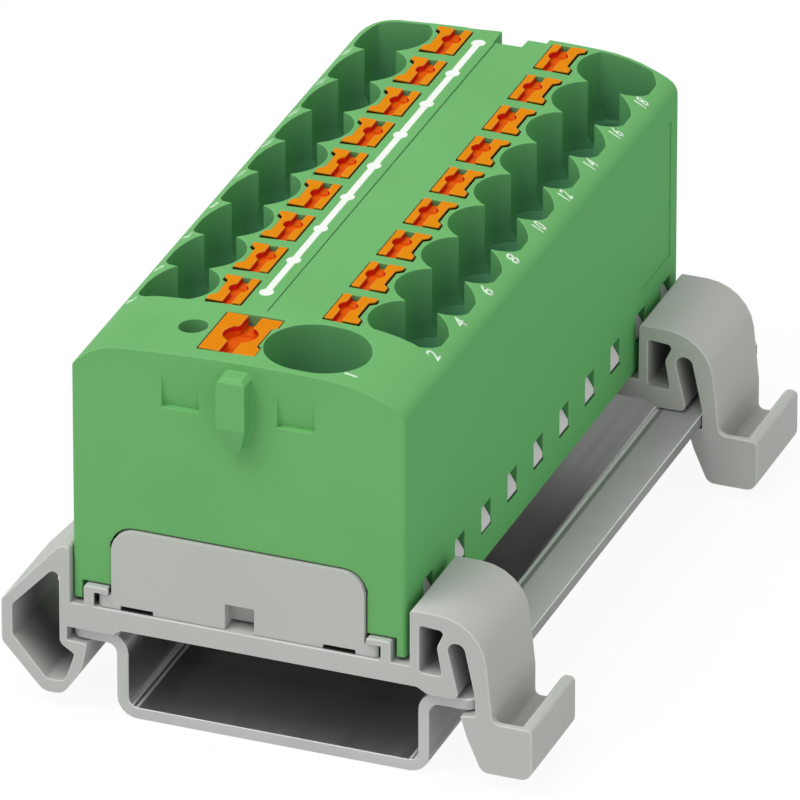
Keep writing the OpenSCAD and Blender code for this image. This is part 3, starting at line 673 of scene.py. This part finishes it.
# faces in the jambs of the side windows take the painted shade of the window, and faces in the groove its painted shade
for face in housing.data.polygons:
    inWall = abs(face.center.x - housingMiddle) > windowReach["out"] and abs(face.normal.x) < windowReach["facing"]
    if inWall and windowReach["low"] < face.center.z < windowReach["high"]:
        face.material_index = housingSlots["window"]
    furthest = max(abs(housing.data.vertices[k].co.x - grooveReach["x"]) for k in face.vertices)
    if furthest < grooveReach["half"] and face.center.z > grooveReach["bottom"]:
        face.material_index = housingSlots["grooveShade"]
depthShadeSettings = {"skin": 0.6, "skinFade": 0.4, "rearFade": 0.15, "rim": 0.06, "start": 0.3, "depth": 6.0}
markInward(housing, depthShadeSettings)
print("housing finished:", len(housing.data.polygons), "faces")

baseSettings = {**roundingSettings, "round": 0.05}
baseSlots = {"latch": 2}
latchReach = {"out": 13.3 * mm, "tip": 13.9 * mm, "further": 0.2 * mm}   # the tips are drawn out into the windows
base = finishPart("base", [greyPlastic, greyEdgeHighlight, latchPaintedLight], baseSettings)
# the latch faces take the painted light
for face in base.data.polygons:
    if abs(face.center.x - housingMiddle) > latchReach["out"]:
        face.material_index = baseSlots["latch"]
for vert in base.data.vertices:
    if abs(vert.co.x - housingMiddle) > latchReach["tip"]:
        vert.co.x += math.copysign(latchReach["further"], vert.co.x - housingMiddle)

footSettings = {**roundingSettings, "round": 0.08}
footSlots = {"hollowShade": 2}
hollowReach = {"looks": 8, "firstLook": 0.2, "hits": 7, "lengthwise": 0.3, "outermost": 18.6 * mm, "lift": 0.05 * mm}
# the front foot's faces are parted round the slots of the base above it, so that those under a slot can take
# painted shade; these lengths are in mm
slotEnds = {"across": (-12.99, -10.19, 4.45, 7.25), "along": (-31.45, -28.45)}
slotCuts = [((x, 0, 0), (1, 0, 0)) for x in slotEnds["across"]] + [((0, y, 0), (0, 1, 0)) for y in slotEnds["along"]]


def paintHollows(piece, slot, settings):
    # a face lies in a hollow if a look from it in each direction across the rail, but one, meets the foot again, and
    # such a face gets the painted shade of the hollow
    tree = BVHTree.FromObject(piece, bpy.context.evaluated_depsgraph_get())
    turns = [2 * math.pi * k / settings["looks"] + settings["firstLook"] for k in range(settings["looks"])]
    looks = [Vector((math.cos(turn), 0, math.sin(turn))) for turn in turns]
    for face in piece.data.polygons:
        if abs(face.normal.y) < settings["lengthwise"] and face.center.x < settings["outermost"]:
            spot = face.center + face.normal * settings["lift"]
            if sum(tree.ray_cast(spot, look)[0] is not None for look in looks) >= settings["hits"]:
                face.material_index = slot


for node, name, cuts in (("front_adapter", "frontHollowShade", slotCuts), ("rear_adapter", "rearHollowShade", [])):
    low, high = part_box(node)
    hollowShadePaint = mouldedPlastic(name, {**hollowShadeSettings, "ends": (low.y, high.y)})
    foot = finishPart(node, [footPlastic, footEdgeHighlight, hollowShadePaint], {**footSettings, "cuts": cuts})
    paintHollows(foot, footSlots["hollowShade"], hollowReach)
print("base and feet finished")

railPaints = {"plate": zincPlate, "cut": cutSteelAndBendHighlight, "paintedHighlight": zincPaintedHighlight, "channel": zincChannelShade, "paintedShade": zincPaintedShade}
railSlots = {name: k for k, name in enumerate(railPaints)}
railSettings = {**roundingSettings, "round": 0.12, "highlightSlot": railSlots["paintedHighlight"]}
railReach = {"channel": 13.2 * mm, "top": 6.4 * mm, "bendOut": 15.0 * mm, "edge": 17.3 * mm, "square": 0.9,
             "level": 0.99, "dullTilt": (3, 12), "brightTilt": 27, "lowTilt": (32, 42)}


def railFinish(face, reach):
    # a face's finish comes from its place and its tilt, and some keep their own; the dull and bright lines along the
    # bends are painted shade and painted highlight, the outer sides take painted shade, and the channel is painted
    # darker
    out = abs(face.center.x)
    inward = face.normal.x * face.center.x < 0 or (face.normal.z > reach["level"] and out < reach["channel"])
    tilt = math.degrees(math.acos(max(-1, min(1, face.normal.z))))
    if abs(face.normal.y) > reach["square"]:
        return "cut"
    if abs(face.normal.x) > reach["square"] and not inward and (out > reach["edge"] or out < reach["bendOut"]):
        return "paintedShade"
    if face.material_index != railSlots["plate"] or not inward or out >= reach["bendOut"]:
        return None
    nearFlat = reach["dullTilt"][0] < tilt < reach["dullTilt"][1]
    if face.center.z > reach["top"]:
        if nearFlat:
            return "paintedShade"
        if tilt < reach["brightTilt"]:
            return "paintedHighlight"
    elif nearFlat or reach["lowTilt"][0] < tilt < reach["lowTilt"][1]:
        return "cut"
    return "channel" if tilt > reach["dullTilt"][0] or out < reach["channel"] else None


rail = finishPart("din_rail", list(railPaints.values()), railSettings)
for face in rail.data.polygons:
    finish = railFinish(face, railReach)
    if finish:
        face.material_index = railSlots[finish]
print("rail finished")

buttonSettings = {**roundingSettings, "round": 0.06}
buttonSlots = {"plain": 0, "edge": 1, "side": 2}
buttonReach = {"smallSlot": 0.55 * mm, "supplySlot": 0.9 * mm, "topEdges": 0.3 * mm, "upright": 0.75, "lift": 0.01 * mm}
sideShadeSettings = {**orangeSettings, "floor": orangeSettings["side"], "wall": orangeSettings["side"],
                "faceDepth": 0.11 * mm, "wallDepth": 0.15 * mm}
orangeByTop = {}   # buttons with the same height share their finishes


def paintSides(piece, top, settings):
    # the painted highlight on the edges stays only at the top, and the sides that face the shaft take the painted shade
    # of the gap
    tree = BVHTree.FromObject(piece, bpy.context.evaluated_depsgraph_get())
    for face in piece.data.polygons:
        if face.material_index == buttonSlots["edge"] and face.center.z < top - settings["topEdges"]:
            face.material_index = buttonSlots["plain"]
        level = Vector((face.normal.x, face.normal.y, 0))
        outer = tree.ray_cast(face.center + level * settings["lift"], level)[0] is None
        if abs(face.normal.z) < settings["upright"] and outer:
            face.material_index = buttonSlots["side"]


for node in sorted(name for name in frame["nodes"] if "button" in name):
    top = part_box(node)[1].z
    height = round(top / mm, 1)
    if height not in orangeByTop:
        slotFloor = top - buttonReach["supplySlot" if "supply" in node else "smallSlot"]
        number = str(len(orangeByTop) + 1)
        orangeByTop[height] = (orangePlastic("orangePlastic" + number, orangeSettings, top, slotFloor),
                               orangePlastic("orangeSideShade" + number, sideShadeSettings, top, slotFloor))
    plain, side = orangeByTop[height]
    button = finishPart(node, [plain, orangeEdgeHighlight, side], buttonSettings)
    paintSides(button, top, buttonReach)
print("buttons finished:", len(orangeByTop), "heights")

for node, part in frame["nodes"].items():
    if "spring" in node or node == "busbar":
        for place in part.material_slots:
            place.material = springSteel if "spring" in node else tinnedCopper
print("springs and busbar finished")

# narrow gaps
gapSettings = {"width": 0.45 * mm, "rim": 0.18 * mm, "corner": 0.9, "lift": 0.002 * mm,
               "pieces": ["housing", "base", "front_adapter", "rear_adapter"],
               "green": (0.030, 0.085, 0.030), "grey": (0.060, 0.062, 0.059)}


def treeOf(pieces):
    # one search tree over several pieces
    verts, sides = [], []
    for piece in pieces:
        start = len(verts)
        verts += [vert.co.copy() for vert in piece.data.vertices]
        sides += [[start + k for k in face.vertices] for face in piece.data.polygons]
    return BVHTree.FromPolygons(verts, sides)


def shadeGaps(settings):
    # a face that looks straight at another part, or at its own, across a narrow gap lies in shade, and so do the
    # rounded edges where two mouldings meet
    green, grey = settings["green"], settings["grey"]
    greenGap = mouldedPlastic("greenGap", {**greenSettings, "darker": green, "lighter": green, "deep": green})
    greyGap = mouldedPlastic("greyGap", {**greySettings, "darker": grey, "lighter": grey})
    solids = {name: bpy.data.objects[name + "Finished"] for name in frame["nodes"]
              if name + "Finished" in bpy.data.objects}
    for name in settings["pieces"]:
        piece = solids[name]
        others = treeOf([other for key, other in solids.items() if key != name])
        mouldings = treeOf([solids[key] for key in settings["pieces"] if key != name])
        own = treeOf([piece])
        piece.data.materials.append(greenGap if name == "housing" else greyGap)
        slot = len(piece.data.materials) - 1
        shaded = 0
        for face in piece.data.polygons:
            if name == "housing" and face.material_index == housingSlots["grooveShade"]:
                continue
            edge = face.material_index == roundingSettings["highlightSlot"]
            dark = edge and mouldings.find_nearest(face.center, settings["rim"])[0] is not None
            if not dark:
                corners = [piece.data.vertices[k].co for k in face.vertices]
                spots = [face.center] + [face.center.lerp(corner, settings["corner"]) for corner in corners]
                spots = [spot + face.normal * settings["lift"] for spot in spots]
                dark = any(all(tree.ray_cast(spot, face.normal, settings["width"])[0] is not None for spot in spots)
                           for tree in (others, own))
            if dark:
                face.material_index = slot
                shaded += 1
        print(name, "has", shaded, "faces in the shade of a gap")


shadeGaps(gapSettings)

# printing on the top
# lengths here are in mm, and places along the block count from the housing's front
lineSettings = {"x": -5.24, "width": 0.6, "firstContact": 12.24, "lastEnd": 59.7, "pitch": 5.93, "dot": 1.2, "dots": 9,
                "cutStep": 0.3, "lift": 0.02, "dotLift": 0.025, "film": 0.05}
markSettings = {"height": 1.08, "capShare": 0.7, "bold": 0.025, "right": (10.2, -2.55), "left": (-16.0, -2.4),
                "supply": (6.2, 1.74), "oneDigit": 1.2, "twoDigits": 0.75, "leftHeight": 0.75, "firstContact": 12.12,
                "pitch": 5.93, "rows": 9}
topZ = 36 * mm   # flat shapes start from here, above the housing, and drop on to it


def laySheet(piece, settings):
    # a flat shape above the top is cut fine enough to bend, dropped on to the housing and given its thickness
    low = min(vert.co.x for vert in piece.data.vertices)
    high = max(vert.co.x for vert in piece.data.vertices)
    step = settings["cutStep"] * mm
    cuts = int((high - low) / step)
    for count in range(1, cuts + 1):
        selectOnly(piece)
        bpy.ops.object.mode_set(mode="EDIT")
        bpy.ops.mesh.select_all(action="SELECT")
        bpy.ops.mesh.bisect(plane_co=(low + count * (high - low) / (cuts + 1), 0, 0), plane_no=(1, 0, 0))
        bpy.ops.object.mode_set(mode="OBJECT")
    applyModifier(piece, "SHRINKWRAP", "dropped", target=housing, wrap_method="PROJECT", use_project_z=True,
                  use_negative_direction=True, use_positive_direction=False, offset=settings["lift"] * mm)
    applyModifier(piece, "SOLIDIFY", "film", thickness=settings["film"] * mm, offset=-1)


def joinPieces(pieces, name):
    deselectAll()
    for piece in pieces:
        piece.select_set(True)
    bpy.context.view_layer.objects.active = pieces[0]
    bpy.ops.object.join()
    joined = bpy.context.object
    joined.name = name
    bpy.ops.object.transform_apply(location=True, rotation=True, scale=True)
    return joined


def makeLine(settings):
    length = settings["lastEnd"] - settings["firstContact"]
    middle = (settings["lastEnd"] + settings["firstContact"]) / 2 - frontY
    deselectAll()
    bpy.ops.mesh.primitive_plane_add(size=1, location=(settings["x"] * mm, middle * mm, topZ))
    stripe = bpy.context.object
    stripe.scale = (settings["width"] * mm, length * mm, 1)
    bpy.ops.object.transform_apply(location=True, rotation=True, scale=True)
    laySheet(stripe, settings)
    dots = []
    for count in range(settings["dots"]):
        deselectAll()
        spot = (settings["x"] * mm, (settings["firstContact"] + count * settings["pitch"] - frontY) * mm, topZ)
        bpy.ops.mesh.primitive_circle_add(vertices=32, radius=settings["dot"] / 2 * mm, fill_type="NGON", location=spot)
        dots.append(bpy.context.object)
    dot = joinPieces(dots, "bridgeDots")
    laySheet(dot, {**settings, "lift": settings["dotLift"]})
    line = joinPieces([stripe, dot], "bridgeLine")
    line.data.materials.append(lineInk)
    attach(line, "block")


makeLine(lineSettings)
print("line printed")


def makeMark(number, place, turn, settings, tall=1):
    # a number with its middle at a place on the top, turned about it
    deselectAll()
    bpy.ops.object.text_add()
    mark = bpy.context.object
    mark.data.body = str(number)
    mark.data.size = settings["height"] * mm / settings["capShare"]
    mark.data.align_x = "CENTER"
    mark.data.align_y = "CENTER"
    mark.data.resolution_u = 3
    mark.data.offset = settings["bold"] * mm
    bpy.ops.object.convert(target="MESH")
    mark = bpy.context.object
    mark.scale = (settings["oneDigit"] if number < 10 else settings["twoDigits"], tall, 1)
    mark.rotation_euler = (0, 0, turn)
    mark.location = (place[0] * mm, (place[1] - frontY) * mm, topZ)
    bpy.ops.object.transform_apply(location=True, rotation=True, scale=True)
    return mark


def makeMarks(settings):
    toRight, toLeft = math.pi / 2, -math.pi / 2
    marks = [makeMark(1, settings["supply"], toRight, settings)]
    for row in range(settings["rows"]):
        contact = settings["firstContact"] + row * settings["pitch"]
        rightPlace = (settings["right"][0], contact + settings["right"][1])
        leftPlace = (settings["left"][0], contact + settings["left"][1])
        marks.append(makeMark(2 + 2 * row, rightPlace, toRight, settings))
        marks.append(makeMark(3 + 2 * row, leftPlace, toLeft, settings, settings["leftHeight"]))
    for mark in marks:
        laySheet(mark, lineSettings)
    numbers = joinPieces(marks, "contactNumbers")
    numbers.data.materials.clear()
    numbers.data.materials.append(markInk)
    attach(numbers, "block")


makeMarks(markSettings)
print("numbers printed")
